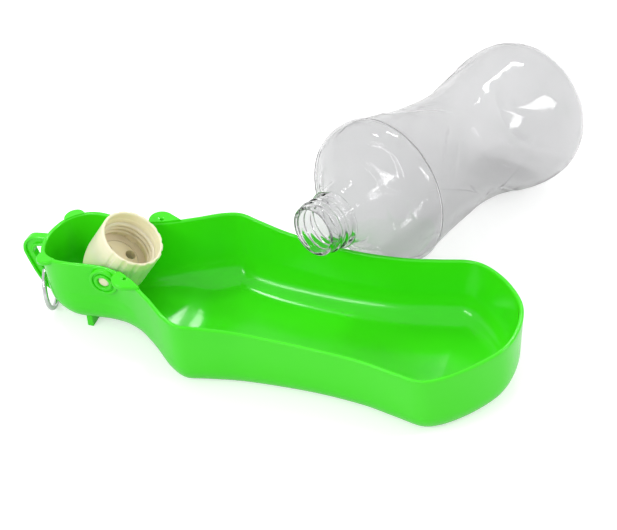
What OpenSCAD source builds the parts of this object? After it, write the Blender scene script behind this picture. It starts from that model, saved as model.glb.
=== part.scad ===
// Travel water bottle for a dog: a leaf-shaped drinking tray with a tilting
// screw cap in its head, a carry loop with a key ring, and a clear bottle
// that is unscrewed and leans on the tray's rim.
// The origin is on the floor under the middle of the tray, +X runs to the
// far end of the tray, +Z is up.

/* [Cap] */
// Diameter over the cap's grip
cap_d = 31.6; // [30.5:0.1:33]
// Height of the cap's mouth above its pivot
cap_rise = 15.6; // [14:0.1:18]
// Radius of the cap's barrel-shaped end round the pivot
barrel_r = 16.2; // [15.8:0.1:19]
// Diameter of the cap's screw bore
cap_bore_d = 27.9; // [27.4:0.05:28.4]
// Diameter of the two pivot pins on the cap
trunnion_d = 5.8; // [4:0.1:8]
// Running clearance round the pivot pins and the valve's pin
fit_gap = 0.06; // [0.02:0.01:0.1]
// Lean of the cap from upright, towards the bowl
cap_tilt = 32.5; // [-30:0.5:85]
// Number of grip flutes on the cap
flutes = 16; // [8:1:20]

/* [Valve] */
// Diameter of the water holes
hole_d = 5.2; // [3:0.1:6]
// Distance of the water holes from the cap's axis
hole_reach = 6.9; // [5:0.1:7.5]
// Number of water holes
holes = 3; // [2:1:3]
// Thickness of the turning valve plate
plate_t = 1.8; // [1.2:0.1:2.4]
// Thickness of the soft seal under the valve plate
seal_t = 1.4; // [0.8:0.1:2]
// Thickness of the ring that seals the bottle's mouth
gasket_t = 1.6; // [1.2:0.1:2.2]

/* [Bottle] */
// Length of the bottle
bottle_l = 171; // [160:1:185]
// Largest diameter, at the shoulder
bottle_d = 75.6; // [72:0.2:80]
// Diameter at the waist
waist_d = 61.4; // [56:0.2:68]
// Diameter of the base bulge
base_d = 76; // [72:0.2:80]
// Outside diameter of the neck
neck_d = 25; // [24:0.1:25.4]
// Wall of the body
bottle_wall = 0.7; // [0.6:0.1:1]
// Wall of the neck
neck_wall = 1.8; // [1.4:0.1:2.2]
// Turn of the lying bottle from the tray's long axis
bottle_turn = 66; // [55:1:80]

/* [Tray] */
// Wall of the tray
wall_t = 2.2; // [1.6:0.1:3]
// Thickness of the tray's floor
floor_t = 2.2; // [1.6:0.1:3]
// Width over the head
head_w = 41.2; // [40:0.2:46]
// Height of the rim at the head
head_h = 44; // [42:0.5:50]
// Height of the rim at the waist
rim_h = 34; // [31:0.5:38]
// Radius of the rounded lower edge
heel_r = 9; // [6:0.5:10]
// Room round the stowed bottle
bottle_gap = 3.25; // [1.5:0.25:5]
// Room beside the cap
cap_gap = 0.9; // [0.6:0.1:1.5]
// Distance of the pivot from the head's end
pivot_in = 39; // [36:0.5:44]
// Height of the boss round each pivot bore
boss_t = 2.2; // [1.2:0.1:3]
// Outside diameter of the boss
boss_d = 14.6; // [12:0.2:16]
// Thickness of the foot under the head
foot_t = 3.2; // [2:0.2:5]
// Width of the foot
foot_w = 30; // [20:1:34]

/* [Loop and ring] */
// How far the carry loop reaches past the head
loop_reach = 13.2; // [12:0.2:18]
// Width of the loop's bar in side view
loop_bar = 5.8; // [4.5:0.1:6.4]
// Thickness of the loop across the tray
loop_w = 4; // [3:0.2:6]
// Diameter of the key ring to the middle of its wire
ring_d = 22.8; // [21:0.2:25]
// Diameter of the ring's wire
wire_d = 2.4; // [1.8:0.1:2.6]

/* [Hidden] */
$fn = 72;
eps = 0.01;

green = [0.16, 0.86, 0.10];
cream = [0.93, 0.89, 0.76];
steel = [0.75, 0.76, 0.78];

tray_l = pivot_in + bottle_l + 27;
neck_w = cap_d + 2 * (cap_gap + wall_t);
shoulder_w = bottle_d + 2 * (bottle_gap + wall_t);
tray_waist_w = waist_d + 2 * (bottle_gap + wall_t);
belly_w = base_d + 2 * (bottle_gap + wall_t);
pivot_x = pivot_in - tray_l / 2;
pivot_z = head_h - 8;
boss_y = neck_w / 2 + boss_t;

// ---- tray: stations along its length, then rings of points at each depth ----

s_shoulder = pivot_in + 0.275 * bottle_l;
s_waist = pivot_in + 0.62 * bottle_l;
s_belly = pivot_in + 0.947 * bottle_l;

function mix(a, b, f) = a + (b - a) * f;

// Each station: distance from the head's end, half width, rim height, underside height
stations = [
    [0, 0, head_h - 3, 12],
    [2.5, 0.28 * head_w, head_h - 2.8, 11],
    [9, 0.44 * head_w, head_h - 1.8, 8],
    [20, head_w / 2, head_h - 0.2, 5.4],
    [pivot_in, neck_w / 2, head_h - 0.4, 5],
    [pivot_in + 13, neck_w / 2 + 4, head_h - 1.2, 6],
    [s_shoulder - 21, mix(neck_w, shoulder_w, 0.5) / 2, mix(rim_h, head_h, 0.75), 4.6],
    [s_shoulder - 9, mix(neck_w, shoulder_w, 0.86) / 2, mix(rim_h, head_h, 0.62), 0.6],
    [s_shoulder, shoulder_w / 2, mix(rim_h, head_h, 0.52), 0],
    [s_shoulder + 11, mix(shoulder_w, tray_waist_w, 0.3) / 2, mix(rim_h, head_h, 0.41), 0],
    [s_shoulder + 29, mix(shoulder_w, tray_waist_w, 0.76) / 2, mix(rim_h, head_h, 0.24), 0],
    [s_waist, tray_waist_w / 2, rim_h + 0.2, 0],
    [s_belly - 31, mix(tray_waist_w, belly_w, 0.19) / 2, rim_h - 0.1, 0],
    [s_belly - 14, mix(tray_waist_w, belly_w, 0.64) / 2, rim_h, 0],
    [s_belly, belly_w / 2, rim_h + 0.5, 0],
    [tray_l - 26, belly_w / 2 - 3.1, rim_h + 1.8, 0.4],
    [tray_l - 15, 0.365 * belly_w, rim_h + 3.3, 1.6],
    [tray_l - 6, 0.243 * belly_w, rim_h + 4, 3],
    [tray_l - 1.5, 0.136 * belly_w, rim_h + 4.1, 4],
    [tray_l, 0, rim_h + 4.1, 5]];

n_st = len(stations);
steps = 3;

// A smooth curve through the stations, mirrored about the middle plane at both ends
function across(p) = [p[0], -p[1], p[2], p[3]];
function st(i) = i < 0 ? across(stations[-i])
    : i >= n_st ? across(stations[2 * n_st - 2 - i]) : stations[i];
function curve(a, b, c, d, t) = 0.5 * (2 * b + (c - a) * t + (2 * a - 5 * b + 4 * c - d) * t * t
    + (3 * b - a - 3 * c + d) * t * t * t);
half_line = [for (i = [0:n_st - 2]) for (k = [0:steps - 1])
    curve(st(i - 1), st(i), st(i + 1), st(i + 2), k / steps)];
n_half = len(half_line);
outline = concat(half_line, [stations[n_st - 1]],
    [for (i = [1:n_half - 1]) across(half_line[n_half - i])]);
n_pts = len(outline);

rim_line = concat([for (p = half_line) [p[0], p[2]]], [[tray_l, rim_h + 4.1]]);
under_line = concat([for (p = half_line) [p[0], max(0, p[3])]], [[tray_l, 5]]);

function unit(v) = v / norm(v);
// Inward direction in plan at point i of the outline
function inward(i) = let (a = outline[(i + n_pts - 1) % n_pts], b = outline[(i + 1) % n_pts],
    t = unit([b[0] - a[0], b[1] - a[1]])) [t[1], -t[0]];

// Each level: distance inside the outline, share of the local depth
lip = wall_t / 2;
depth = head_h - 5;
outer_levels = [[lip * 0.3, 0.009], [0, 0.03], [0.55, 0.35], [1.1, 0.68],
    for (a = [22.5:22.5:90]) [1.1 + heel_r * (1 - cos(a)), 0.68 + 0.32 * sin(a)]];
inner_levels = [[lip * 1.7, 0.009], [wall_t, 0.03], [wall_t + 0.55, 0.35], [wall_t + 1.1, 0.68],
    for (a = [22.5:22.5:90]) [mix(wall_t + 1.1, 1.1 + heel_r, 1 - cos(a)),
        mix(0.68, 1 - floor_t / depth, sin(a))]];
n_out = len(outer_levels);
levels = concat([for (i = [n_out - 1:-1:0]) outer_levels[i]], [[lip, 0]], inner_levels);
n_lev = len(levels);

function ring_point(i, lev) = let (n = inward(i), s = outline[i][0] + lev[0] * n[0])
    [s - tray_l / 2, outline[i][1] + lev[0] * n[1],
        mix(lookup(s, rim_line), lookup(s, under_line), lev[1])];

// Flat strips between the two mirrored halves of a ring
function strip(base, flip) = [for (i = [0:n_half - 1]) let (a = base + i, b = base + i + 1,
    c = base + (n_pts - i - 1) % n_pts, d = base + (n_pts - i) % n_pts)
    each [flip ? [c, b, a] : [a, b, c], if (i > 0) flip ? [d, c, a] : [a, c, d]]];

module shell() {
    polyhedron(
        points = [for (l = levels) for (i = [0:n_pts - 1]) ring_point(i, l)],
        faces = concat(
            strip(0, true),
            [for (k = [0:n_lev - 2]) for (i = [0:n_pts - 1]) let (j = (i + 1) % n_pts)
                each [[(k + 1) * n_pts + j, (k + 1) * n_pts + i, k * n_pts + i],
                    [k * n_pts + j, (k + 1) * n_pts + j, k * n_pts + i]]],
            strip((n_lev - 1) * n_pts, false)),
        convexity = 8);
}

module both_sides() {
    children();
    mirror([0, 1, 0]) children();
}

// Cylinder along Y from y0 to y1, through the pivot
module cross_pin(r, y0, y1) {
    translate([pivot_x, y1, pivot_z]) rotate([90, 0, 0]) cylinder(r = r, h = y1 - y0);
}

// Small round tab on the rim, cut off where it would reach over the hollow
module tab(s, y, r, rise) {
    translate([s - tray_l / 2, y, lookup(s, rim_line) - 2.4 + rise]) cylinder(r = r, h = 2.4);
}

module inner_prism() {
    translate([0, 0, rim_h]) linear_extrude(20)
        polygon([for (i = [0:n_pts - 1]) let (p = ring_point(i, [wall_t * 0.8, 0])) [p[0], p[1]]]);
}

tab_s = pivot_in + 12.9;
tab_y = neck_w / 2 + 4.7;

module foot() {
    translate([23.2 - tray_l / 2, 0, 0]) rotate([90, 0, 90]) linear_extrude(foot_t)
        polygon([[-foot_w / 2, 0], [foot_w / 2, 0], [foot_w / 2, 8], [9, 6.3], [-9, 6.3],
            [-foot_w / 2, 8]]);
}

module tray() {
    color(green) difference() {
        union() {
            shell();
            foot();
            both_sides() cross_pin(boss_d / 2, neck_w / 2 - 1.6, boss_y);
            difference() {
                both_sides() {
                    tab(tab_s, tab_y, 7.2, 1.1);
                    tab(8.3, 0.386 * head_w, 5.3, 0.3);
                }
                inner_prism();
            }
        }
        both_sides() {
            cross_pin(trunnion_d / 2 + fit_gap, neck_w / 2 - 6, boss_y + 1);
            difference() {
                cross_pin(trunnion_d / 2 + 2.6, boss_y - 0.7, boss_y + 1);
                cross_pin(trunnion_d / 2 + 1.8, boss_y - 2, boss_y + 2);
            }
            translate([tab_s - tray_l / 2, tab_y, lookup(tab_s, rim_line) + 0.3])
                cylinder(r = 1.1, h = 3);
        }
    }
}

// ---- carry loop: an I-section bar that runs from the rim down under the head ----

// Outer edge of the bar in side view: distance from the head's end, height
loop_edge = [
    [0.6, head_h - 3.4],
    [-7.2, head_h - 4.6],
    [0.2 - 0.8 * loop_reach, head_h - 6.8],
    [-0.94 * loop_reach, head_h - 9.6],
    [-loop_reach, head_h - 13],
    [-0.97 * loop_reach, head_h - 16.4],
    [-9.4, 17.9],
    [-6.9, 12.6],
    [-4.2, 8.2],
    [-0.6, 5.6],
    [4, 3.9],
    [9.5, 3.9]];

// Point i of the edge moved inwards by d
function edge_in(i, d) = let (n = len(loop_edge), p = loop_edge[i],
    a = loop_edge[max(0, i - 1)], b = loop_edge[min(n - 1, i + 1)],
    t = unit(b - a)) [p[0] - d * t[1], p[1] + d * t[0]];
function band(d0, d1) = concat([for (i = [0:len(loop_edge) - 1]) edge_in(i, d0)],
    [for (i = [len(loop_edge) - 1:-1:0]) edge_in(i, d1)]);

module loop_band(d0, d1, w) {
    translate([-tray_l / 2, w / 2, 0]) rotate([90, 0, 0]) linear_extrude(w) polygon(band(d0, d1));
}

module carry_loop() {
    color(green) {
        loop_band(0, 1.5, loop_w);
        loop_band(loop_bar - 1.5, loop_bar, loop_w);
        loop_band(1.4, loop_bar - 1.4, loop_w - 2.4);
    }
}

// ---- key ring, threaded on the lower corner of the loop ----

// Direction of the ring's axle: turned from +X and leant up
ring_turn = 15;
ring_lean = 5;
ring_at = [0.5 - tray_l / 2, -5, ring_d / 2 * cos(ring_lean) + wire_d / 2 + 0.1];

module key_ring() {
    color(steel) translate(ring_at) rotate([0, 90 - ring_lean, ring_turn])
        rotate_extrude() translate([ring_d / 2, 0]) circle(d = wire_d, $fn = 32);
}

// ---- cap, drawn upright round its pivot and then tilted ----

cup_floor = -1.2 - gasket_t - 0.05;
plate_r = neck_d / 2 - 1.7;

module at_cap() {
    translate([pivot_x, 0, pivot_z]) rotate([0, cap_tilt, 0]) children();
}

module water_holes(h) {
    for (k = [0:holes - 1]) rotate([0, 0, 56 + 360 / holes * k])
        translate([hole_reach, 0, 0]) cylinder(d = hole_d, h = h, $fn = 48);
}

module cap() {
    color(cream) at_cap() difference() {
        union() {
            // round body whose lower end is a half drum about the pivot
            intersection() {
                translate([0, 0, -barrel_r - 1]) cylinder(d = cap_d, h = barrel_r + 1 + cap_rise);
                union() {
                    translate([0, cap_d, 0]) rotate([90, 0, 0]) cylinder(r = barrel_r, h = 2 * cap_d);
                    translate([0, 0, cap_rise / 2]) cube([2 * cap_d, 2 * cap_d, cap_rise + eps],
                        center = true);
                }
                // chamfer round the drum's end
                translate([0, 0, -barrel_r - 1])
                    cylinder(r1 = cap_d / 2 - 3.4, r2 = cap_d / 2 + 56.6, h = 60);
            }
            translate([0, boss_y - 0.3, 0]) rotate([90, 0, 0])
                cylinder(d = trunnion_d, h = 2 * boss_y - 0.6);
        }
        // screw bore, seal pocket and water holes
        translate([0, 0, cup_floor]) cylinder(d = cap_bore_d, h = 40);
        translate([0, 0, cup_floor]) cylinder(d = cap_bore_d + 0.5, h = gasket_t + 0.05);
        translate([0, 0, cup_floor - plate_t - seal_t]) cylinder(r = plate_r, h = 20);
        translate([0, 0, -barrel_r - 1]) water_holes(20);
        // plain mouth band
        translate([0, 0, cap_rise - 4.6]) cylinder(d = cap_bore_d + 0.6, h = 10);
        // grip flutes, left out on the smooth panel
        for (k = [0:flutes - 1]) let (a = 360 / flutes * (k + 0.5))
            if (abs(a - 180) > 62) rotate([0, 0, a]) translate([cap_d / 2 + 1.9, 0, -barrel_r - 1])
                cylinder(r = 2.4, h = barrel_r + cap_rise, $fn = 24);
    }
}

module mouth_gasket() {
    color([0.97, 0.95, 0.88]) at_cap() translate([0, 0, cup_floor + 0.03]) difference() {
        cylinder(d = cap_bore_d + 0.3, h = gasket_t);
        translate([0, 0, -1]) cylinder(r = plate_r - 0.8, h = 4);
    }
}

module valve_plate() {
    color(cream) at_cap() translate([0, 0, cup_floor - plate_t]) difference() {
        union() {
            cylinder(r = plate_r - fit_gap, h = plate_t);
            cylinder(r = plate_r - 0.9, h = plate_t + gasket_t - 0.3);
        }
        translate([0, 0, -1]) water_holes(8);
    }
}

module valve_seal() {
    color([0.9, 0.9, 0.88]) at_cap() translate([0, 0, cup_floor - plate_t - seal_t + 0.03])
        difference() {
            cylinder(r = plate_r - 0.3, h = seal_t - 0.06);
            translate([0, 0, -1]) water_holes(8);
        }
}

// ---- bottle: a blown shell, turned about its own axis ----

neck_r = neck_d / 2;
shoulder_r = bottle_d / 2;
waist_r = waist_d / 2;
base_r = base_d / 2;

// Distance from the mouth, for a point given on a bottle 171 long
function along(a) = a < 20 ? a : 20 + (a - 20) * (bottle_l - 20) / 151;

// Outer profile from the mouth to the middle of the base: radius, distance from the mouth
bottle_edge = concat(
    [[neck_r, 0], [neck_r, 14], [neck_r + 2.2, 14.3], [neck_r + 2.2, 15.6], [neck_r + 0.7, 16.2],
        [neck_r + 1.1, 19]],
    [for (p = [[22, 0.08], [25, 0.19], [28, 0.34], [31, 0.5], [34, 0.67], [36.5, 0.79], [40, 0.92],
        [44, 0.985], [47.5, 1], [50, 1]]) [mix(neck_r + 1.1, shoulder_r, p[1]), along(p[0])]],
    [for (p = [[50.8, 0], [55, 0.11], [62, 0.31], [70, 0.52], [80, 0.74], [92, 0.92], [103, 1]])
        [mix(shoulder_r - 0.8, waist_r, p[1]), along(p[0])]],
    [for (p = [[112, 0.05], [120, 0.17], [130, 0.45], [138, 0.7], [146, 0.92], [154, 1], [160, 0.93],
        [164.5, 0.72]]) [mix(waist_r, base_r, p[1]), along(p[0])]],
    [[base_r - 4.3, along(168)], [base_r - 8, along(170.3)], [base_r - 12, along(171)],
        [base_r - 14, along(170.5)], [0.4 * base_r, along(167)], [4, along(165.6)],
        [0, along(165.6)]]);

function wall_at(a) = a < 17 ? neck_wall : a > 26 ? bottle_wall
    : mix(neck_wall, bottle_wall, (a - 17) / 9);
n_edge = len(bottle_edge);
// Points 3 to 5 of the profile are the carrying ledge, which the bore ignores
function bore_point(i) = let (p = bottle_edge[i], a = bottle_edge[max(0, i - 1)],
    b = bottle_edge[min(n_edge - 1, i + 1)], t = unit(b - a), w = wall_at(p[1]))
    p[1] < 21 ? [neck_r - neck_wall + max(0, p[1] - 16) * 0.45, p[1]]
    : i == n_edge - 1 ? [0, p[1] - w] : [p[0] - w * t[1], p[1] + w * t[0]];

module bottle_shell() {
    rotate_extrude($fn = 96) polygon(concat(bottle_edge,
        [for (i = [n_edge - 1:-1:6]) bore_point(i)],
        [[neck_r - neck_wall + 1, 18.5], [neck_r - neck_wall, 16], [neck_r - neck_wall, 0]]));
}

// The bottle lies with its base bulge on the floor and its dome against the rear rim:
// it's moved back along its heading until no point of the rim is inside the dome
low_a = along(159.5);
low_r = mix(waist_r, base_r, 0.94);
low_z = 0.15 + 0.992 * low_r;
bottle_dip = asin((rim_h + 0.2 + 0.265 * bottle_d - low_z) / (low_a - 24));
bottle_dir = [cos(bottle_dip) * cos(bottle_turn), cos(bottle_dip) * sin(bottle_turn),
    -sin(bottle_dip)];
heading = [cos(bottle_turn), sin(bottle_turn), 0];
dome_line = [for (i = [5:14]) bottle_edge[i]];
rim_points = [for (i = [0:n_half - 1]) for (l = [outer_levels[0], [lip, 0], inner_levels[0]])
    let (a = ring_point(i, l), b = ring_point(i + 1, l)) for (f = [0, 0.25, 0.5, 0.75]) mix(a, b, f)];
function overlap_at(m) = max([for (q = rim_points) let (v = q - m, a = v * bottle_dir,
    r = norm(v - a * bottle_dir)) if (r < shoulder_r - 0.5) a + 0.25 - lookup(r, dome_line)]);
mouth_0 = [22.3, tray_waist_w / 2, low_z + low_a * sin(bottle_dip)] - 24 * heading;
mouth_1 = mouth_0 + overlap_at(mouth_0) / cos(bottle_dip) * heading;
bottle_at = mouth_1 + overlap_at(mouth_1) / cos(bottle_dip) * heading;

module bottle() {
    color([0.85, 0.9, 0.92, 0.35]) translate(bottle_at)
        rotate([0, 90 + bottle_dip, bottle_turn]) bottle_shell();
}

tray();
carry_loop();
key_ring();
cap();
mouth_gasket();
valve_plate();
valve_seal();
bottle();
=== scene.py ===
"""A dog's travel water bottle: green drinking tray, cream screw cap, key ring and clear bottle."""
import math

import bmesh
import bpy
from mathutils import Matrix, Vector


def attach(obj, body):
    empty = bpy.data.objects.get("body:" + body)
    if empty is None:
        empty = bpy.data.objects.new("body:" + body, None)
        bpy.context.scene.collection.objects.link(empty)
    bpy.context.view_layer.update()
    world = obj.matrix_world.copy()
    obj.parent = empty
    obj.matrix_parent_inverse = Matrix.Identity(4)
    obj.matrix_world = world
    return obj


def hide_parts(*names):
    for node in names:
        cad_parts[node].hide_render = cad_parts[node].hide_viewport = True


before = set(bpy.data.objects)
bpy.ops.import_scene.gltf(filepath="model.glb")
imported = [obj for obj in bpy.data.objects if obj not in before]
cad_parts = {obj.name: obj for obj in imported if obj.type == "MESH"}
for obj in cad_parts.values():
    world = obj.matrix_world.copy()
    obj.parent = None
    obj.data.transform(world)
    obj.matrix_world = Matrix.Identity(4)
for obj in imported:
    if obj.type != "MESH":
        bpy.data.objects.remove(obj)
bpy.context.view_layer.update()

MM = 0.001
TAU = math.tau

# ---- sizes in millimetres, the same as the solids' ----

CAP_D, CAP_RISE, BARREL_R, CAP_BORE_D = 31.6, 15.6, 16.2, 27.9
TRUNNION_D, CAP_TILT, FLUTES = 5.8, 32.5, 16
HOLE_D, HOLE_REACH, HOLES = 5.2, 6.9, 3
PLATE_T, SEAL_T, GASKET_T = 1.8, 1.4, 1.6
BOTTLE_L, BOTTLE_D, WAIST_D, BASE_D, NECK_D = 171.0, 75.6, 61.4, 76.0, 25.0
BOTTLE_WALL, NECK_WALL = 0.7, 1.8
WALL_T, FLOOR_T, HEAD_W, HEAD_H, RIM_H, HEEL_R = 2.2, 2.2, 41.2, 44.0, 34.0, 9.0
BOTTLE_GAP, CAP_GAP, PIVOT_IN, BOSS_T, BOSS_D = 3.25, 0.9, 39.0, 2.2, 14.6
FOOT_T, FOOT_W = 3.2, 30.0
LOOP_REACH, LOOP_BAR, LOOP_W = 13.2, 5.8, 4.0
RING_D, WIRE_D, RING_TURN, RING_LEAN = 22.8, 2.4, 15.0, 5.0
DRAFT, LEDGE, BOWL_HEEL, BORE_PLAY = 1.1, 0.45, 15.5, 0.06
TAB_T, TAB_EDGE, DIMPLE, LOOP_GROOVE = 2.4, 0.8, 1.7, 1.2
CAP_THREAD_TURNS, CAP_THREAD_PITCH, CAP_THREAD_RIDGE = 3.4, 2.75, 1.25
NECK_THREAD_PITCH, NECK_THREAD_RIDGE, SUPPORT_END = 4.1, 0.95, 17.6

TRAY_L = PIVOT_IN + BOTTLE_L + 27
NECK_W = CAP_D + 2 * (CAP_GAP + WALL_T)
SHOULDER_W = BOTTLE_D + 2 * (BOTTLE_GAP + WALL_T)
TRAY_WAIST_W = WAIST_D + 2 * (BOTTLE_GAP + WALL_T)
BELLY_W = BASE_D + 2 * (BOTTLE_GAP + WALL_T)
PIVOT = Vector((PIVOT_IN - TRAY_L / 2, 0, HEAD_H - 8))
BOSS_Y = NECK_W / 2 + BOSS_T

BOTTLE_MOUTH = Vector((14.013, 17.538, 57.214))
BOTTLE_DIP, BOTTLE_TURN, SEAM_ANGLE = 7.135, 66.0, -117.0


def mix(a, b, f):
    return a + (b - a) * f


def smooth(lo, hi, v):
    f = min(1.0, max(0.0, (v - lo) / (hi - lo)))
    return f * f * (3 - 2 * f)


def curve(a, b, c, d, t):
    """Catmull-Rom value between b and c."""
    return 0.5 * (2 * b + (c - a) * t + (2 * a - 5 * b + 4 * c - d) * t * t
                  + (3 * b - a - 3 * c + d) * t ** 3)


def lookup(x, table):
    """Straight-line value of a table of (x, y) pairs in rising x."""
    if x <= table[0][0]:
        return table[0][1]
    for (x0, y0), (x1, y1) in zip(table, table[1:]):
        if x <= x1:
            return mix(y0, y1, (x - x0) / (x1 - x0))
    return table[-1][1]


# ---- meshes ----

def mesh_object(name, points, faces, material=None, sharp=None, place=None):
    """Object with its place in its mesh; points in millimetres."""
    mesh = bpy.data.meshes.new(name)
    mesh.from_pydata([tuple(Vector(p) * MM) for p in points], [], faces)
    obj = bpy.data.objects.new(name, mesh)
    bpy.context.scene.collection.objects.link(obj)
    if place is not None:
        moved = place.copy()
        moved.translation = moved.translation * MM
        mesh.transform(moved)
    finish_mesh(obj, sharp)
    if material is not None:
        mesh.materials.append(material)
    return obj


def finish_mesh(obj, sharp=None):
    """Merges doubles, turns faces outwards and shades smooth up to an angle."""
    bm = bmesh.new()
    bm.from_mesh(obj.data)
    bmesh.ops.remove_doubles(bm, verts=bm.verts, dist=1e-6)
    bmesh.ops.recalc_face_normals(bm, faces=bm.faces)
    bm.to_mesh(obj.data)
    bm.free()
    obj.data.shade_smooth()
    if sharp is not None:
        obj.data.set_sharp_from_angle(angle=math.radians(sharp))


def baked(obj):
    """Applies an object's modifiers to a fresh mesh."""
    graph = bpy.context.evaluated_depsgraph_get()
    mesh = bpy.data.meshes.new_from_object(obj.evaluated_get(graph))
    obj.modifiers.clear()
    obj.data = mesh
    return obj


def cut(obj, *tools):
    """Takes the tool objects out of a piece."""
    for tool in tools:
        step = obj.modifiers.new("cut", "BOOLEAN")
        step.operation, step.solver, step.object = "DIFFERENCE", "EXACT", tool
    baked(obj)
    for tool in tools:
        bpy.data.objects.remove(tool)
    return obj


def joined(name, pieces):
    """One object from several that share a body."""
    whole = bmesh.new()
    materials = []
    for piece in pieces:
        for material in piece.data.materials:
            if material not in materials:
                materials.append(material)
    for piece in pieces:
        first = len(whole.faces)
        whole.from_mesh(piece.data)
        whole.faces.ensure_lookup_table()
        for face in whole.faces[first:]:
            own = piece.data.materials[face.material_index] if piece.data.materials else None
            face.material_index = materials.index(own) if own else 0
    mesh = bpy.data.meshes.new(name)
    whole.to_mesh(mesh)
    whole.free()
    for material in materials:
        mesh.materials.append(material)
    obj = bpy.data.objects.new(name, mesh)
    bpy.context.scene.collection.objects.link(obj)
    for piece in pieces:
        bpy.data.objects.remove(piece)
    return obj


def soften(obj, width, angle=35.0):
    """Rounds the edges of a piece."""
    soft = obj.modifiers.new("soft", "BEVEL")
    soft.width, soft.segments, soft.limit_method = width * MM, 3, "ANGLE"
    soft.angle_limit = math.radians(angle)
    baked(obj)
    obj.data.shade_smooth()
    obj.data.set_sharp_from_angle(angle=math.radians(angle))
    return obj


def rings(name, rows, material=None, sharp=None, place=None, closed=False):
    """Skin over rows of equally many points; a row of one point is a pole."""
    points, starts, faces = [], [], []
    for row in rows:
        starts.append(len(points))
        points += row
    pairs = list(zip(range(len(rows)), range(1, len(rows))))
    if closed:
        pairs.append((len(rows) - 1, 0))
    for a, b in pairs:
        n = max(len(rows[a]), len(rows[b]))
        for i in range(n):
            j = (i + 1) % n
            ring = []
            for row, k in ((a, i), (a, j), (b, j), (b, i)):
                at = starts[row] + (k if len(rows[row]) > 1 else 0)
                if at not in ring:
                    ring.append(at)
            faces.append(ring)
    return mesh_object(name, points, faces, material, sharp, place)


def turned(name, profile, material=None, count=96, sharp=35, place=None, closed=False):
    """Body of revolution about Z from (radius, height) pairs."""
    rows = []
    for r, z in profile:
        if r <= 1e-6:
            rows.append([(0, 0, z)])
        else:
            rows.append([(r * math.cos(TAU * i / count), r * math.sin(TAU * i / count), z)
                         for i in range(count)])
    return rings(name, rows, material, sharp, place, closed)


def rounded(corners, radius, steps=4):
    """Rounds the corners of an open (radius, height) line, by one radius or one per corner."""
    line = [corners[0]]
    for k in range(1, len(corners) - 1):
        r = radius[k] if isinstance(radius, (list, tuple)) else radius
        p, a, b = (Vector(corners[i]) for i in (k, k - 1, k + 1))
        r = min(r, (a - p).length * 0.45, (b - p).length * 0.45)
        if r < 1e-4:
            line.append(tuple(p))
            continue
        u, v = p + (a - p).normalized() * r, p + (b - p).normalized() * r
        for i in range(steps + 1):
            t = i / steps
            line.append(tuple(u * (1 - t) ** 2 + p * 2 * t * (1 - t) + v * t * t))
    line.append(corners[-1])
    return line


CAP_PLACE = Matrix.Translation(PIVOT) @ Matrix.Rotation(math.radians(CAP_TILT), 4, "Y")
BOTTLE_PLACE = (Matrix.Translation(BOTTLE_MOUTH)
                @ Matrix.Rotation(math.radians(BOTTLE_TURN), 4, "Z")
                @ Matrix.Rotation(math.radians(90 + BOTTLE_DIP), 4, "Y"))


def across_y(side, start):
    """Place whose +Z points out of the tray's side, from the pivot."""
    return (Matrix.Translation(PIVOT + Vector((0, side * start, 0)))
            @ Matrix.Rotation(math.radians(-90 * side), 4, "X"))


# ---- shader maths ----

class Value:
    """A socket that Python's operators work on."""

    def __init__(self, finish, socket):
        self.finish, self.socket = finish, socket

    def math(self, operation, *others):
        return self.finish.node("ShaderNodeMath", {"operation": operation}, self, *others)

    def __add__(self, other):
        return self.math("ADD", other)

    def __mul__(self, other):
        return self.math("MULTIPLY", other)

    def __sub__(self, other):
        return self.math("SUBTRACT", other)

    def __rsub__(self, other):
        return self.finish.node("ShaderNodeMath", {"operation": "SUBTRACT"}, other, self)

    __radd__ = __add__
    __rmul__ = __mul__

    def smooth(self, lo, hi):
        return self.finish.node("ShaderNodeMapRange", {"interpolation_type": "SMOOTHSTEP"},
                                self, lo, hi, 0.0, 1.0)


class Finish:
    """A material with one Principled shader; constants are set on its own sockets."""

    def __init__(self, name, **constants):
        self.material = bpy.data.materials.new(name)
        self.material.use_nodes = True
        self.tree = self.material.node_tree
        self.shader = self.tree.nodes["Principled BSDF"]
        for key, value in constants.items():
            self.shader.inputs[key.replace("_", " ")].default_value = value
        self.place = self.node("ShaderNodeTexCoord", {}, out="Object")

    def node(self, kind, settings, *inputs, out=0, **named):
        node = self.tree.nodes.new(kind)
        for key, value in settings.items():
            setattr(node, key, value)
        for key, value in list(enumerate(inputs)) + [(k.replace("_", " "), v)
                                                     for k, v in named.items()]:
            self.feed(node.inputs[key], value)
        return Value(self, node.outputs[out])

    def feed(self, socket, value):
        """Links or sets one input; None leaves it as it is."""
        if isinstance(value, Value):
            self.tree.links.new(value.socket, socket)
        elif value is not None:
            socket.default_value = value

    def noise(self, scale, detail=3.0, roughness=0.5):
        return self.node("ShaderNodeTexNoise", {"noise_dimensions": "3D"}, Vector=self.place,
                         Scale=scale, Detail=detail, Roughness=roughness)

    def blend(self, factor, first, second):
        """Mix of two colours; the Mix node's colour sockets are inputs 6 and 7, output 2."""
        node = self.tree.nodes.new("ShaderNodeMix")
        node.data_type = "RGBA"
        for key, value in ((0, factor), (6, (*first, 1)), (7, (*second, 1))):
            self.feed(node.inputs[key], value)
        return Value(self, node.outputs[2])

    def along(self, axis, origin):
        """Distance from a point in metres, measured along an axis."""
        reach = self.node("ShaderNodeVectorMath", {"operation": "DOT_PRODUCT"}, self.place,
                          tuple(axis), out="Value")
        return reach - axis.dot(origin)

    def put(self, name, value):
        self.feed(self.shader.inputs[name], value)

    def bump(self, *layers):
        """Layers of (height, distance in metres, strength)."""
        normal = None
        for height, distance, strength in layers:
            normal = self.node("ShaderNodeBump", {}, Strength=strength, Distance=distance,
                               Height=height, Normal=normal)
        self.put("Normal", normal)


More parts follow.
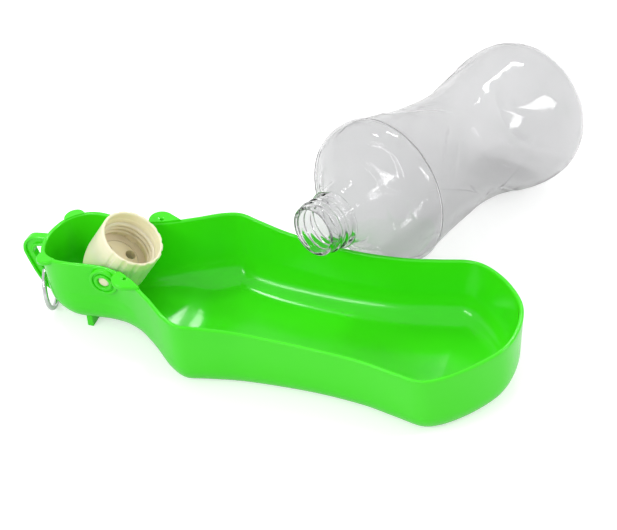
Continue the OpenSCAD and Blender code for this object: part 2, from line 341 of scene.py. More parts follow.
def green_plastic():
    f = Finish("green_plastic", IOR=1.42, Coat_Weight=0.08, Coat_Roughness=0.06)
    cloud = f.noise(14.0, 2.0)
    grain = f.noise(900.0, 2.0)
    wear = f.noise(60.0, 5.0, 0.6)
    f.put("Base Color", f.blend(cloud.smooth(0.3, 0.7), (0.05, 0.75, 0.006),
                                (0.06, 0.79, 0.009)))
    f.put("Roughness", wear.smooth(0.35, 0.75) * 0.06 + 0.15)
    f.bump((cloud, 0.0015, 0.03), (grain, 0.0003, 0.025))
    return f.material


def cream_plastic():
    f = Finish("cream_plastic", IOR=1.5, Subsurface_Weight=0.25, Subsurface_Scale=0.005,
               Coat_Weight=0.15, Coat_Roughness=0.1)
    f.shader.inputs["Subsurface Radius"].default_value = (1.0, 0.75, 0.45)
    cloud = f.noise(60.0, 3.0)
    grain = f.noise(1400.0, 2.0)
    f.put("Base Color", f.blend(cloud.smooth(0.3, 0.7), (0.86, 0.78, 0.53), (0.90, 0.83, 0.60)))
    f.put("Roughness", grain.smooth(0.3, 0.7) * 0.1 + 0.3)
    f.bump((grain, 0.0003, 0.06))
    return f.material


def gasket_rubber():
    f = Finish("gasket_rubber", IOR=1.45, Subsurface_Weight=0.1, Subsurface_Scale=0.003)
    grain = f.noise(1800.0, 3.0)
    f.put("Base Color", f.blend(f.noise(120.0), (0.74, 0.66, 0.48), (0.82, 0.75, 0.58)))
    f.put("Roughness", grain * 0.15 + 0.45)
    f.bump((grain, 0.0002, 0.15))
    return f.material


def ring_steel():
    f = Finish("ring_steel", Metallic=1.0, IOR=2.5)
    scratch = f.noise(500.0, 6.0, 0.7)
    f.put("Base Color", f.blend(f.noise(90.0), (0.62, 0.62, 0.63), (0.74, 0.74, 0.76)))
    f.put("Roughness", scratch.smooth(0.4, 0.8) * 0.12 + 0.12)
    f.bump((scratch, 0.0001, 0.1))
    return f.material


def clear_plastic():
    f = Finish("clear_plastic", IOR=1.3, Specular_IOR_Level=0.9, Transmission_Weight=1.0)
    cloud = f.noise(25.0, 2.0)
    ripple = f.noise(70.0, 2.0)
    f.put("Base Color", f.blend(cloud.smooth(0.3, 0.7), (0.72, 0.72, 0.725),
                                (0.755, 0.755, 0.76)))
    f.put("Roughness", f.noise(200.0, 4.0).smooth(0.4, 0.8) * 0.05 + 0.06)
    # mould seam: a fine line on the dome, in the plane through the bottle's axis
    turn = BOTTLE_PLACE.to_3x3() @ Matrix.Rotation(math.radians(SEAM_ANGLE), 3, "Z")
    away = f.along(turn @ Vector((0, 1, 0)), BOTTLE_MOUTH * MM).math("ABSOLUTE", 0.0)
    down = f.along(turn @ Vector((0, 0, 1)), BOTTLE_MOUTH * MM)
    seam = (1 - away.smooth(0.0001, 0.00034)) * (1 - down.smooth(0.047, 0.051))
    f.bump((ripple, 0.0015, 0.12), (seam, 0.0002, 0.4))
    return f.material


GREEN, CREAM, RUBBER, STEEL, CLEAR = (green_plastic(), cream_plastic(), gasket_rubber(),
                                      ring_steel(), clear_plastic())

# ---- tray ----

S_SHOULDER = PIVOT_IN + 0.275 * BOTTLE_L
S_WAIST = PIVOT_IN + 0.62 * BOTTLE_L
S_BELLY = PIVOT_IN + 0.947 * BOTTLE_L

# Distance from the head's end, half width, rim height, underside height
STATIONS = [
    (0, 0, HEAD_H - 3, 12),
    (2.5, 0.28 * HEAD_W, HEAD_H - 2.8, 11),
    (9, 0.44 * HEAD_W, HEAD_H - 1.8, 8),
    (20, HEAD_W / 2, HEAD_H - 0.2, 5.4),
    (PIVOT_IN, NECK_W / 2, HEAD_H - 0.4, 5),
    (PIVOT_IN + 13, NECK_W / 2 + 4, HEAD_H - 1.2, 6),
    (S_SHOULDER - 21, mix(NECK_W, SHOULDER_W, 0.5) / 2, mix(RIM_H, HEAD_H, 0.75), 4.6),
    (S_SHOULDER - 9, mix(NECK_W, SHOULDER_W, 0.86) / 2, mix(RIM_H, HEAD_H, 0.62), 0.6),
    (S_SHOULDER, SHOULDER_W / 2, mix(RIM_H, HEAD_H, 0.52), 0),
    (S_SHOULDER + 11, mix(SHOULDER_W, TRAY_WAIST_W, 0.3) / 2, mix(RIM_H, HEAD_H, 0.41), 0),
    (S_SHOULDER + 29, mix(SHOULDER_W, TRAY_WAIST_W, 0.76) / 2, mix(RIM_H, HEAD_H, 0.24), 0),
    (S_WAIST, TRAY_WAIST_W / 2, RIM_H + 0.2, 0),
    (S_BELLY - 31, mix(TRAY_WAIST_W, BELLY_W, 0.19) / 2, RIM_H - 0.1, 0),
    (S_BELLY - 14, mix(TRAY_WAIST_W, BELLY_W, 0.64) / 2, RIM_H, 0),
    (S_BELLY, BELLY_W / 2, RIM_H + 0.5, 0),
    (TRAY_L - 26, BELLY_W / 2 - 3.1, RIM_H + 1.8, 0.4),
    (TRAY_L - 15, 0.365 * BELLY_W, RIM_H + 3.3, 1.6),
    (TRAY_L - 6, 0.243 * BELLY_W, RIM_H + 4, 3),
    (TRAY_L - 1.5, 0.136 * BELLY_W, RIM_H + 4.1, 4),
    (TRAY_L, 0, RIM_H + 4.1, 5)]
LAST = len(STATIONS) - 1
STEPS = 8


def station(i):
    s, w, rim, under = STATIONS[-i if i < 0 else 2 * LAST - i if i > LAST else i]
    return (s, -w if i < 0 or i > LAST else w, rim, under)


HALF_LINE = [tuple(curve(*(station(i + k)[axis] for k in (-1, 0, 1, 2)), step / STEPS)
                   for axis in range(4))
             for i in range(LAST) for step in range(STEPS)]
OUTLINE = HALF_LINE + [STATIONS[-1]] + [(s, -w, r, u) for s, w, r, u in reversed(HALF_LINE[1:])]
COUNT = len(OUTLINE)
RIM_LINE = [(p[0], p[2]) for p in HALF_LINE] + [(TRAY_L, RIM_H + 4.1)]
UNDER_LINE = [(p[0], max(0, p[3])) for p in HALF_LINE] + [(TRAY_L, 5)]


def inward(i):
    a, b = OUTLINE[i - 1], OUTLINE[(i + 1) % COUNT]
    t = Vector((b[0] - a[0], b[1] - a[1])).normalized()
    return Vector((t.y, -t.x))


def wall_line(s):
    """Wall at distance s from the head: pairs of inset and share of the local depth, from the
    underside over the lip to the floor, and how many of them are outside."""
    lip, deep = WALL_T / 2, HEAD_H - 5
    lip_share, straight = 0.03, 0.65
    heel = lip_share + straight
    outer = [(lip * (1 - math.sin(a)), lip * (1 - math.cos(a)) / deep)
             for a in (math.radians(d) for d in (20, 42, 66, 90))]
    inner = [(WALL_T - o, share) for o, share in outer]
    steps = (0.01, 0.04) + tuple(0.05 * k for k in range(2, 13))
    outer += [(DRAFT * f / straight, lip_share + f) for f in steps]
    outer += [(DRAFT + HEEL_R * (1 - math.cos(a)), mix(heel, 1, math.sin(a)))
              for a in (math.radians(d) for d in range(0, 91, 10))]
    # inside, the wall runs into the bowl's floor in a wider curve than in the head
    soft = smooth(50, 78, s)
    start, end = mix(heel, 0.52, soft), mix(DRAFT + HEEL_R, BOWL_HEEL, soft)
    first = WALL_T + DRAFT * (start - lip_share) / straight
    inner += [(mix(WALL_T, first, f / straight), mix(lip_share, start, f / straight))
              for f in steps]
    inner += [(mix(first, end, 1 - math.cos(a)), mix(start, 1 - FLOOR_T / deep, math.sin(a)))
              for a in (math.radians(d) for d in range(0, 91, 9))]
    return list(reversed(outer)) + [(lip, 0)] + inner, len(outer)


def tray_shell():
    lines = [wall_line(OUTLINE[i][0]) for i in range(COUNT)]
    levels, n_outer = lines[0]
    half = len(HALF_LINE)
    points = []
    for k in range(len(levels)):
        row = []
        for i in range(COUNT):
            inset, share = lines[i][0][k]
            n = inward(i)
            s, y = OUTLINE[i][0] + inset * n.x, OUTLINE[i][1] + inset * n.y
            z = mix(lookup(s, RIM_LINE), lookup(s, UNDER_LINE), share)
            if k < n_outer and share < 0.95:
                # soft step along the lower half of the head
                ledge = LEDGE * (1 - smooth(21.3, 22.8, z))
                ledge *= smooth(12, 20, s) * (1 - smooth(48, 58, s))
                s, y = s - ledge * n.x, y - ledge * n.y
            row.append([s - TRAY_L / 2, y, z])
        # where the line turns tightly, its inner copies must not fold back
        for i in range(1, half):
            row[i][0] = max(row[i][0], row[i - 1][0])
            row[-i][0] = max(row[-i][0], row[1 - i][0])
        points += row
    faces = []
    for base in (0, (len(levels) - 1) * COUNT):
        for i in range(half):
            c, d = base + (COUNT - i - 1) % COUNT, base + (COUNT - i) % COUNT
            quad = [base + i, base + i + 1, c, d]
            faces.append([q for n, q in enumerate(quad) if q not in quad[:n]])
    for k in range(len(levels) - 1):
        for i in range(COUNT):
            j = (i + 1) % COUNT
            faces.append([k * COUNT + i, k * COUNT + j, (k + 1) * COUNT + j, (k + 1) * COUNT + i])
    shell = mesh_object("shell", points, faces, GREEN)
    hole = TRUNNION_D / 2 + BORE_PLAY
    bores = [turned("bore", [(0, 0), (hole, 0), (hole, 9), (0, 9)],
                    place=across_y(side, NECK_W / 2 - 6)) for side in (-1, 1)]
    cut(shell, *bores)
    shell.data.shade_smooth()
    shell.data.set_sharp_from_angle(angle=math.radians(40))
    return shell


def boss(side):
    """Raised ring with a groove round the pivot's bore."""
    start, top = NECK_W / 2 - 1.6, BOSS_Y
    hole, outer, high = TRUNNION_D / 2 + BORE_PLAY, BOSS_D / 2, top - start
    line = [(hole, 0), (hole, high), (hole + 1.7, high), (hole + 1.8, high - 1.3),
            (hole + 2.65, high - 1.3), (hole + 2.75, high - 0.1), (outer, high - 0.1), (outer, 0)]
    return turned("boss", rounded(line, [0, 0.75, 0.6, 0.25, 0.25, 0.55, 1.0, 0], 4) + [(hole, 0)],
                  GREEN, 72, 50, across_y(side, start))


def prism(name, outline, depth, place, bevel=0.0):
    """Straight extrusion along Z, with soft edges where a bevel is given."""
    n = len(outline)
    points = [(x, y, z) for z in (0, depth) for x, y in outline]
    faces = [list(range(n)), list(range(n, 2 * n))]
    faces += [[i, (i + 1) % n, n + (i + 1) % n, n + i] for i in range(n)]
    obj = mesh_object(name, points, faces, GREEN, 30, place)
    return soften(obj, bevel) if bevel else obj


def drop(r, tail, turn, end_r=3.2):
    """Outline round a circle and a smaller one at the end of its tail."""
    lean = math.acos((r - end_r) / tail)
    steps = 20
    outline = [(r * math.cos(a), r * math.sin(a))
               for a in (turn + mix(lean, TAU - lean, k / (2 * steps))
                         for k in range(2 * steps + 1))]
    tip = (tail * math.cos(turn), tail * math.sin(turn))
    return outline + [(tip[0] + end_r * math.cos(a), tip[1] + end_r * math.sin(a))
                      for a in (turn + mix(-lean, lean, k / steps) for k in range(steps + 1))]


def tab(s, side, y, r, rise, tail, turn, dimple):
    """Flat tab on the rim, cut off where it would reach over the hollow."""
    slope = math.atan((lookup(s + 5, RIM_LINE) - lookup(s - 5, RIM_LINE)) / 10)
    place = (Matrix.Translation((s - TRAY_L / 2, side * y, lookup(s, RIM_LINE) - TAB_T + rise))
             @ Matrix.Rotation(-slope, 4, "Y"))
    edge = [Vector((x, side * v)) for x, v in drop(r, tail, math.radians(turn))]
    n = len(edge)

    def offset(d):
        row = []
        for i, p in enumerate(edge):
            along = (edge[(i + 1) % n] - edge[i - 1]).normalized() * side
            row.append(p - Vector((along.y, -along.x)) * d)
        return row

    def layer(points, z):
        return [(q.x, q.y, z) for q in points]

    rows = [[(0, 0, TAB_T - (DIMPLE if dimple else 0))]]
    inner = (0.75, 0.85, 0.95, 1.4) if dimple else (0.8, 1.2, 1.6, 2.0)
    for r_in, low in zip(inner, (DIMPLE, 1.2, 0.2, 0.0)):
        rows.append(layer([p.normalized() * r_in for p in edge], TAB_T - (low if dimple else 0)))
    for f in (0.3, 0.6, 0.85):
        rows.append(layer([p.normalized() * 2.0 * (1 - f) + q * f
                           for p, q in zip(edge, offset(TAB_EDGE))], TAB_T))
    for d in range(0, 91, 15):
        a = math.radians(d)
        rows.append(layer(offset(TAB_EDGE * (1 - math.sin(a))),
                          TAB_T - TAB_EDGE * (1 - math.cos(a))))
    rows += [layer(edge, 0.4), layer(offset(0.4), 0), [(0, 0, 0)]]
    piece = rings("tab", rows, GREEN, None, place)
    hollow = []
    for i in range(COUNT):
        inset = inward(i) * WALL_T * 0.8
        hollow.append((OUTLINE[i][0] + inset.x - TRAY_L / 2, OUTLINE[i][1] + inset.y))
    cut(piece, prism("hollow", hollow, 20, Matrix.Translation((0, 0, RIM_H))))
    piece.data.shade_smooth()
    piece.data.set_sharp_from_angle(angle=math.radians(50))
    return piece


def foot():
    """Upright plate across the tray under the head."""
    w = FOOT_W / 2
    place = Matrix.Translation((23.2 - TRAY_L / 2, 0, 0)) @ Matrix(
        ((0, 0, 1, 0), (1, 0, 0, 0), (0, 1, 0, 0), (0, 0, 0, 1)))
    outline = [(-w, 0), (w, 0), (w, 9), (9, 8.5), (-9, 8.5), (-w, 9)]
    return prism("foot", outline, FOOT_T, place, 0.4)


LOOP_EDGE = [
    (0.6, HEAD_H - 3.4), (-7.2, HEAD_H - 4.6), (0.2 - 0.8 * LOOP_REACH, HEAD_H - 6.8),
    (-0.94 * LOOP_REACH, HEAD_H - 9.6), (-LOOP_REACH, HEAD_H - 13),
    (-0.97 * LOOP_REACH, HEAD_H - 16.4), (-9.4, 17.9), (-6.9, 12.6), (-4.2, 8.2), (-0.6, 5.6),
    (4, 3.9), (9.5, 3.9)]


def loop_point(t, d):
    """Point at position t along the loop's edge, moved inwards by d."""
    i = min(int(t), len(LOOP_EDGE) - 2)
    f = t - i

    def knot(k):
        return LOOP_EDGE[max(0, min(len(LOOP_EDGE) - 1, k))]

    p = [curve(*(knot(i + k)[axis] for k in (-1, 0, 1, 2)), f) for axis in (0, 1)]
    q = [curve(*(knot(i + k)[axis] for k in (-1, 0, 1, 2)), f + 0.02) for axis in (0, 1)]
    u = Vector((q[0] - p[0], q[1] - p[1])).normalized()
    return p[0] - d * u.y, p[1] + d * u.x


def carry_loop():
    """I-section bar: section points (distance inwards, distance from the middle plane)."""
    w, v, r = LOOP_W / 2, LOOP_W / 2 - LOOP_GROOVE, 0.3
    section = [(r, -w), (1.5 - r, -w), (1.5, -w + r), (1.6, -v), (LOOP_BAR - 1.6, -v),
               (LOOP_BAR - 1.5, -w + r), (LOOP_BAR - 1.5 + r, -w), (LOOP_BAR - r, -w),
               (LOOP_BAR, -w + r)]
    section = section + [(d, -y) for d, y in reversed(section)] + [(0, w - r), (0, -w + r)]
    rows = []
    for k in range(5 * (len(LOOP_EDGE) - 1) + 1):
        row = []
        for d, y in section:
            s, z = loop_point(k / 5, d)
            row.append((s - TRAY_L / 2, y, z))
        rows.append(row)
    for end in (0, -1):
        middle = tuple(sum(p[a] for p in rows[end]) / len(section) for a in range(3))
        rows.insert(0 if end == 0 else len(rows), [middle])
    return rings("carry_loop_dressed", rows, GREEN, 38)


def make_tray():
    parts = [tray_shell(), foot()]
    for side in (-1, 1):
        parts += [boss(side),
                  tab(PIVOT_IN + 12.9, side, NECK_W / 2 + 4.0, 6.4, 0.9, 6.6, 8, True),
                  tab(8.3, side, 0.386 * HEAD_W, 5.3, 0.3, 2.5, 20, False)]
    return joined("tray_dressed", parts)


# ---- what repeats: screw threads ----

def thread_tree():
    """Geometry nodes: a ridge that winds round Z, thinning out at both ends."""
    tree = bpy.data.node_groups.new("screw_ridge", "GeometryNodeTree")
    sockets = (("Radius", "NodeSocketFloat", 0.013), ("Turns", "NodeSocketFloat", 3.0),
               ("Pitch", "NodeSocketFloat", 0.003), ("Ridge", "NodeSocketFloat", 0.001),
               ("Flatness", "NodeSocketFloat", 0.8), ("Material", "NodeSocketMaterial", None))
    for name, kind, value in sockets:
        item = tree.interface.new_socket(name, in_out="INPUT", socket_type=kind)
        if value is not None:
            item.default_value = value
    tree.interface.new_socket("Geometry", in_out="OUTPUT", socket_type="NodeSocketGeometry")

    def node(kind, settings=None, **inputs):
        made = tree.nodes.new(kind)
        for key, value in (settings or {}).items():
            setattr(made, key, value)
        for key, value in inputs.items():
            key = int(key[1:]) if key[0] == "_" else key.replace("_", " ")
            if isinstance(value, bpy.types.NodeSocket):
                tree.links.new(value, made.inputs[key])
            else:
                made.inputs[key].default_value = value
        return made

    def maths(operation, a, b):
        return node("ShaderNodeMath", {"operation": operation}, _0=a, _1=b).outputs[0]

    entry = node("NodeGroupInput").outputs
    spiral = node("GeometryNodeCurveSpiral", Resolution=64, Rotations=entry["Turns"],
                  Start_Radius=entry["Radius"], End_Radius=entry["Radius"],
                  Height=maths("MULTIPLY", entry["Turns"], entry["Pitch"]))
    along = node("GeometryNodeSplineParameter").outputs["Factor"]
    middle = maths("ABSOLUTE", maths("SUBTRACT", along, 0.5), 0.0)
    ends = node("ShaderNodeMapRange", {"interpolation_type": "SMOOTHSTEP"}, Value=middle,
                _1=0.5, _2=0.44, _3=0.25, _4=1.0).outputs[0]
    tapered = node("GeometryNodeSetCurveRadius", Curve=spiral.outputs[0], Radius=ends)
    ring = node("GeometryNodeCurvePrimitiveCircle", {"mode": "RADIUS"}, Resolution=12,
                Radius=entry["Ridge"])
    shape = node("ShaderNodeCombineXYZ", _0=1.0, _1=entry["Flatness"], _2=1.0)
    section = node("GeometryNodeTransform", Geometry=ring.outputs[0], Scale=shape.outputs[0])
    arguments = {"Curve": tapered.outputs[0], "Profile_Curve": section.outputs[0],
                 "Fill_Caps": True}
    sweep = node("GeometryNodeCurveToMesh", **arguments)
    if "Scale" in sweep.inputs:
        tree.links.new(ends, sweep.inputs["Scale"])
    real = node("GeometryNodeRealizeInstances", Geometry=sweep.outputs[0])
    coloured = node("GeometryNodeSetMaterial", Geometry=real.outputs[0],
                    Material=entry["Material"])
    tree.links.new(coloured.outputs[0], node("NodeGroupOutput").inputs[0])
    return tree


THREAD = thread_tree()


def thread(name, material, radius, turns, pitch, ridge, flatness, place):
    """Screw ridge as a plain mesh; sizes in millimetres."""
    obj = bpy.data.objects.new(name, bpy.data.meshes.new(name))
    bpy.context.scene.collection.objects.link(obj)
    winding = obj.modifiers.new("winding", "NODES")
    winding.node_group = THREAD
    values = {"Radius": radius * MM, "Turns": turns, "Pitch": pitch * MM, "Ridge": ridge * MM,
              "Flatness": flatness, "Material": material}
    for item in THREAD.interface.items_tree:
        if item.in_out == "INPUT":
            winding[item.identifier] = values[item.name]
    baked(obj)
    moved = place.copy()
    moved.translation = moved.translation * MM
    obj.data.transform(moved)
    finish_mesh(obj, 50)
    return obj


# ---- cap ----

CUP_FLOOR = -1.2 - GASKET_T - 0.05
SIDES = 288


def flute(angle):
    """Depth of the grip flutes at an angle; the panel towards the head is smooth."""
    off = abs((math.degrees(angle) % 360) - 180)
    start = 24 if math.sin(angle) > 0 else 60
    wave = math.cos(FLUTES * angle + math.pi)
    return 0.45 * smooth(0.1, 1.0, wave) * smooth(start, start + 10, off)


def cap_body():
    bore, outer, rise = CAP_BORE_D / 2, CAP_D / 2, CAP_RISE
    floor, plate_r = CUP_FLOOR - PLATE_T - SEAL_T, NECK_D / 2 - 1.7
    angles = [TAU * i / SIDES for i in range(SIDES)]

    def ring(r, z, flutes=0.0):
        return [((r - flute(a) * flutes) * math.cos(a), (r - flute(a) * flutes) * math.sin(a), z)
                for a in angles]

    def drum(r, a):
        return -math.sqrt(max(0, BARREL_R ** 2 - (r * math.cos(a)) ** 2))

    inside = rounded([(0, floor), (plate_r, floor), (plate_r, CUP_FLOOR), (bore, CUP_FLOOR),
                      (bore, rise - 5.0), (bore + 0.3, rise - 4.2), (bore + 0.3, rise)],
                     [0, 0, 0, 0, 0.2, 0.2, 0], 3)[:-1]
    rows = [[(0, 0, floor)]] + [ring(r, z) for r, z in inside[1:]]
    lip = (outer - bore - 0.3) / 2
    for d in range(0, 181, 15):
        a = math.radians(d)
        rows.append(ring(bore + 0.3 + lip * (1 - math.cos(a)), rise - lip + lip * math.sin(a),
                         smooth(60, 150, d)))
    # side, chamfer and drum-shaped end, line by line round the axis
    lines = []
    for a in angles:
        r1 = outer
        for _ in range(12):
            r1 = min(outer, outer - 3.4 + BARREL_R + 1 + drum(r1, a))
        low = max(drum(outer, a), 2.4 - BARREL_R)
        line = []
        for f in [0.04 + 0.087 * k for k in range(12)]:
            r = outer - flute(a) * (1 - smooth(0.8, 1.0, f))
            line.append((r, mix(rise - lip, low, min(1, f))))
        for f in (0.15, 0.4, 0.7, 1.0):
            line.append((mix(outer, r1, f), mix(low, drum(r1, a), f)))
        for f in (0.94, 0.84, 0.7, 0.55, 0.4, 0.25, 0.12):
            line.append((r1 * f, drum(r1 * f, a)))
        lines.append([(r * math.cos(a), r * math.sin(a), z) for r, z in line])
    rows += [list(row) for row in zip(*lines)] + [[(0, 0, -BARREL_R)]]
    body = rings("cap_body", rows, CREAM, None, CAP_PLACE)
    drills = []
    for k in range(HOLES):
        a = math.radians(56 + 360 / HOLES * k)
        at = Vector((HOLE_REACH * math.cos(a), HOLE_REACH * math.sin(a), -BARREL_R - 1))
        place = CAP_PLACE @ Matrix.Translation(at)
        drills.append(turned("drill", [(0, 0), (HOLE_D / 2, 0), (HOLE_D / 2, 18), (0, 18)],
                             None, 48, place=place))
    cut(body, *drills)
    body.data.shade_smooth()
    body.data.set_sharp_from_angle(angle=math.radians(38))
    return body


def make_cap():
    parts = [cap_body()]
    start = 13
    length = BOSS_Y - 0.8 - start
    for side in (-1, 1):
        pin = rounded([(TRUNNION_D / 2, 0), (TRUNNION_D / 2, length - 0.3), (0, length)],
                      [0, 1.0, 0], 5)
        parts.append(turned("pin", [(0, 0)] + pin, CREAM, 64, 40, across_y(side, start)))
    place = CAP_PLACE @ Matrix.Translation((0, 0, 0.1))
    parts.append(thread("thread", CREAM, CAP_BORE_D / 2 + 0.1, CAP_THREAD_TURNS,
                        CAP_THREAD_PITCH, CAP_THREAD_RIDGE, 0.75, place))
    return joined("cap_dressed", parts)


# ---- key ring ----

def make_key_ring():
    lean, turn = math.radians(RING_LEAN), math.radians(RING_TURN)
    high = RING_D / 2 * math.cos(lean) + WIRE_D / 2 + 0.1
    place = (Matrix.Translation((0.5 - TRAY_L / 2, -5, high))
             @ Matrix.Rotation(turn, 4, "Z") @ Matrix.Rotation(math.pi / 2 - lean, 4, "Y"))
    rows = []
    for i in range(160):
        a = TAU * i / 160
        row = []
        for k in range(24):
            b = TAU * k / 24
            r = RING_D / 2 + WIRE_D / 2 * math.cos(b)
            row.append((r * math.cos(a), r * math.sin(a), WIRE_D / 2 * math.sin(b)))
        rows.append(row)
    return rings("key_ring_dressed", rows, STEEL, None, place, closed=True)


# ---- bottle ----

NECK_R, SHOULDER_R, WAIST_R, BASE_R = NECK_D / 2, BOTTLE_D / 2, WAIST_D / 2, BASE_D / 2


def bottle_line():
    """Outer profile (radius, distance from the mouth), smooth between its points."""
    neck = [(NECK_R - 0.5, 0.1), (NECK_R, 0.5)] + [(NECK_R, 0.5 + 0.39 * k) for k in range(1, 34)]
    neck += [(NECK_R + 0.1, 13.6), (NECK_R + 2.0, 14.1), (NECK_R + 2.2, 14.5),
             (NECK_R + 2.2, 15.3), (NECK_R + 1.9, 15.7), (NECK_R + 0.7, 16.4),
             (NECK_R + 0.8, SUPPORT_END)]
    dome = [(mix(NECK_R + 1.1, SHOULDER_R, f), a) for a, f in (
        (19, 0), (22, 0.08), (25, 0.19), (28, 0.34), (31, 0.5), (34, 0.67), (36.5, 0.79),
        (40, 0.92), (44, 0.985), (47.5, 1), (50, 1))]
    waist = [(mix(SHOULDER_R - 0.8, WAIST_R, f), a) for a, f in (
        (50.8, 0), (55, 0.11), (62, 0.31), (70, 0.52), (80, 0.74), (92, 0.92), (103, 1))]
    base = [(mix(WAIST_R, BASE_R, f), a) for a, f in (
        (112, 0.05), (120, 0.17), (130, 0.45), (138, 0.7), (146, 0.92), (154, 1), (160, 0.93),
        (164.5, 0.72))]
    end = [(BASE_R - 4.3, 168), (BASE_R - 8, 170.3), (BASE_R - 12, 171), (BASE_R - 14, 170.5),
           (0.4 * BASE_R, 167), (4, 165.6)]

    def fine(points, n):
        line = []
        for i in range(len(points) - 1):
            ends = [points[max(0, min(len(points) - 1, i + k))] for k in (-1, 0, 1, 2)]
            line += [tuple(curve(*(p[axis] for p in ends), k / n) for axis in (0, 1))
                     for k in range(n)]
        return line + [points[-1]]

    return neck + fine(dome, 8) + fine(waist + base + end, 6)


def rounded_square(r, angle):
    """Distance from the axis, measured so that lines of equal value are rounded squares."""
    turn = angle - math.radians(SEAM_ANGLE)
    return r * (abs(math.cos(turn)) ** 3.2 + abs(math.sin(turn)) ** 3.2) ** (1 / 3.2)


def screw_ridge(a, angle):
    """Height of the neck's screw ridge."""
    height = 0.0
    for k in range(3):
        turns = k + angle / TAU
        ends = smooth(0, 0.15, turns) * (1 - smooth(2.1, 2.3, turns))
        away = abs(a - 2.9 - NECK_THREAD_PITCH * turns)
        height = max(height, NECK_THREAD_RIDGE * ends * (1 - smooth(0.2, 1.7, away)))
    return height


def emboss(r, a, angle):
    """Depth of the moulded-in shapes at a point of the bottle's skin."""
    if a < 19:
        return -screw_ridge(a, angle)
    square = rounded_square(r, angle)
    if a < 48:
        steps = (1 - smooth(29.9, 31.3, square)) + (1 - smooth(21.7, 23.1, square))
        return steps * smooth(14.6, 18.5, r)
    if a > 158:
        petals = 0.5 * (1 - smooth(29.6, 31.6, square)) * smooth(12, 18, r)
        return petals + 0.35 * (1 - smooth(8.2, 9.6, r)) - 0.5 * (1 - smooth(1.6, 2.8, r))
    # sunk panel between two zigzag lines round the waist
    peak = abs((math.degrees(angle) - SEAM_ANGLE + 45) % 90 - 45) / 45
    inside = min(a - mix(64.6, 95, peak), mix(141, 108, peak) - a) * 0.65
    return 0.6 * smooth(-0.2, 1.9, inside)


def even(line, step):
    """The same line with its points evenly spaced."""
    out, spare = [line[0]], 0.0
    for p, q in zip(line, line[1:]):
        p, q = Vector(p), Vector(q)
        length = (q - p).length
        at = step - spare
        while at < length:
            out.append(tuple(p.lerp(q, at / length)))
            at += step
        spare = length - (at - step)
    return out + [line[-1]]


def make_bottle():
    line = bottle_line()
    split = next(k for k, (r, a) in enumerate(line) if a >= SUPPORT_END)
    count = 180

    def skin_rows(line, inner):
        rows, n = [], len(line)
        for k, (r, a) in enumerate(line):
            p, q = Vector(line[max(0, k - 1)]), Vector(line[min(n - 1, k + 1)])
            t = (q - p).normalized()
            wall = mix(NECK_WALL, BOTTLE_WALL, smooth(17, 26, a)) if inner else 0
            row = []
            for i in range(count):
                angle = TAU * i / count
                depth = (0 if inner and a < 19 else emboss(r, a, angle)) + wall
                rr, aa = r - depth * t.y, a + depth * t.x
                if inner and a < 20:
                    rr, aa = NECK_R - NECK_WALL + max(0, a - 16) * 0.45, a
                row.append((rr * math.cos(angle), rr * math.sin(angle), aa))
            rows.append(row)
        return rows

    outer = skin_rows(line[:split] + even(line[split:], 0.72), False)
    inner = skin_rows(line[:split:2] + even(line[split:], 1.25), True)
    # the mouth's inner edge is slightly wider
    inner[0] = [(x * 1.03, y * 1.03, z) for x, y, z in inner[0]]
    rows = ([[(0, 0, line[-1][1] - BOTTLE_WALL)]] + list(reversed(inner)) + outer
            + [[(0, 0, line[-1][1])]])
    return rings("bottle_dressed", rows, CLEAR, 45, BOTTLE_PLACE)


tray = make_tray()
loop = carry_loop()
cap = make_cap()
ring = make_key_ring()
bottle = make_bottle()

for piece, body, nodes, slot in (
        (tray, "tray_body", ("tray",), "green_plastic"),
        (loop, "tray_body", ("carry_loop",), "green_plastic"),
        (cap, "cap_body", ("cap",), "cream_plastic"),
        (ring, "ring_body", ("key_ring",), "ring_steel"),
        (bottle, "bottle_body", ("bottle",), "clear_plastic")):
    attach(piece, body)
    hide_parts(*nodes)

for node, material in (("valve_plate", CREAM), ("mouth_gasket", RUBBER), ("valve_seal", RUBBER)):
    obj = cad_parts[node]
    for slot_of in obj.material_slots:
        slot_of.material = material

# ---- floor, light and camera ----

FLOOR_REACH, FLOOR_Z = 3000, -0.05
floor = mesh_object("floor", [(x * FLOOR_REACH, y * FLOOR_REACH, FLOOR_Z)
                              for x, y in ((-1, -1), (1, -1), (1, 1), (-1, 1))], [[0, 1, 2, 3]])
paper = Finish("paper_floor", Roughness=0.9, IOR=1.3)
paper.shader.inputs["Base Color"].default_value = (0.74, 0.74, 0.74, 1)
path = paper.tree.nodes.new("ShaderNodeLightPath").outputs
paper.put("Emission Strength", (Value(paper, path["Is Camera Ray"]) * 0.5
                                + Value(paper, path["Is Glossy Ray"]) * 0.15
                                + Value(paper, path["Is Transmission Ray"]) * 0.33))
paper.shader.inputs["Emission Color"].default_value = (1, 1, 1, 1)
floor.data.materials.append(paper.material)

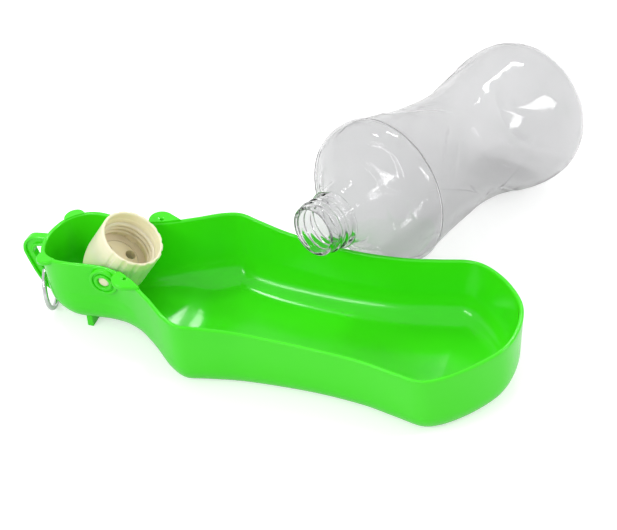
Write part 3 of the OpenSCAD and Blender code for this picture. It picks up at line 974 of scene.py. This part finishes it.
world = bpy.data.worlds.new("studio")
bpy.context.scene.world = world
world.use_nodes = True
sky = world.node_tree
back = sky.nodes["Background"]
rays = sky.nodes.new("ShaderNodeLightPath").outputs
top = sky.nodes.new("ShaderNodeMath")
top.operation = "MAXIMUM"
sky.links.new(rays["Is Camera Ray"], top.inputs[0])
sky.links.new(rays["Is Transmission Ray"], top.inputs[1])
level = sky.nodes.new("ShaderNodeMapRange")
sky.links.new(top.outputs[0], level.inputs[0])
level.inputs[3].default_value, level.inputs[4].default_value = 0.8, 1.0
sky.links.new(level.outputs[0], back.inputs["Strength"])
back.inputs["Color"].default_value = (1, 1, 1, 1)


def softbox(name, position, target, width, height, watts):
    lamp = bpy.data.lights.new(name, "AREA")
    lamp.shape, lamp.size, lamp.size_y, lamp.energy = "RECTANGLE", width, height, watts
    obj = bpy.data.objects.new(name, lamp)
    bpy.context.scene.collection.objects.link(obj)
    obj.location = position
    obj.rotation_euler = (Vector(target) - Vector(position)).to_track_quat("-Z", "Y").to_euler()


softbox("key_light", (0.02, 0.836, 0.877), (-0.047, 0.012, 0.005), 0.24, 0.09, 1.5)
softbox("top_light", (-0.39, 0.262, 0.9), (0.0, 0.03, 0.01), 0.15, 0.15, 1.5)
softbox("side_light", (0.98, 0.28, 0.6), (0.04, 0.04, 0.04), 0.16, 0.42, 2.4)
softbox("front_light", (-0.43, -0.77, 0.64), (0.03, 0.03, 0.04), 0.75, 0.13, 3.2)

CAMERA_AT = Vector((252.5, -589.4, 589.9)) * MM
AZIMUTH, ELEVATION, ROLL = 21.72, 40.29, -4.19
FOCAL_PIXELS, PICTURE_PIXELS, SENSOR = 1800, 617, 36.0
eye = bpy.data.cameras.new("camera")
eye.sensor_width, eye.lens = SENSOR, SENSOR * FOCAL_PIXELS / PICTURE_PIXELS
camera = bpy.data.objects.new("camera", eye)
bpy.context.scene.collection.objects.link(camera)
a, e = math.radians(AZIMUTH), math.radians(ELEVATION)
towards = Vector((math.sin(a) * math.cos(e), -math.cos(a) * math.cos(e), math.sin(e)))
camera.rotation_mode = "QUATERNION"
camera.rotation_quaternion = ((-towards).to_track_quat("-Z", "Y")
                              @ Matrix.Rotation(math.radians(ROLL), 4, "Z").to_quaternion())
camera.location = CAMERA_AT
bpy.context.scene.camera = camera
bpy.context.scene.view_settings.view_transform = "Standard"

bpy.context.view_layer.update()
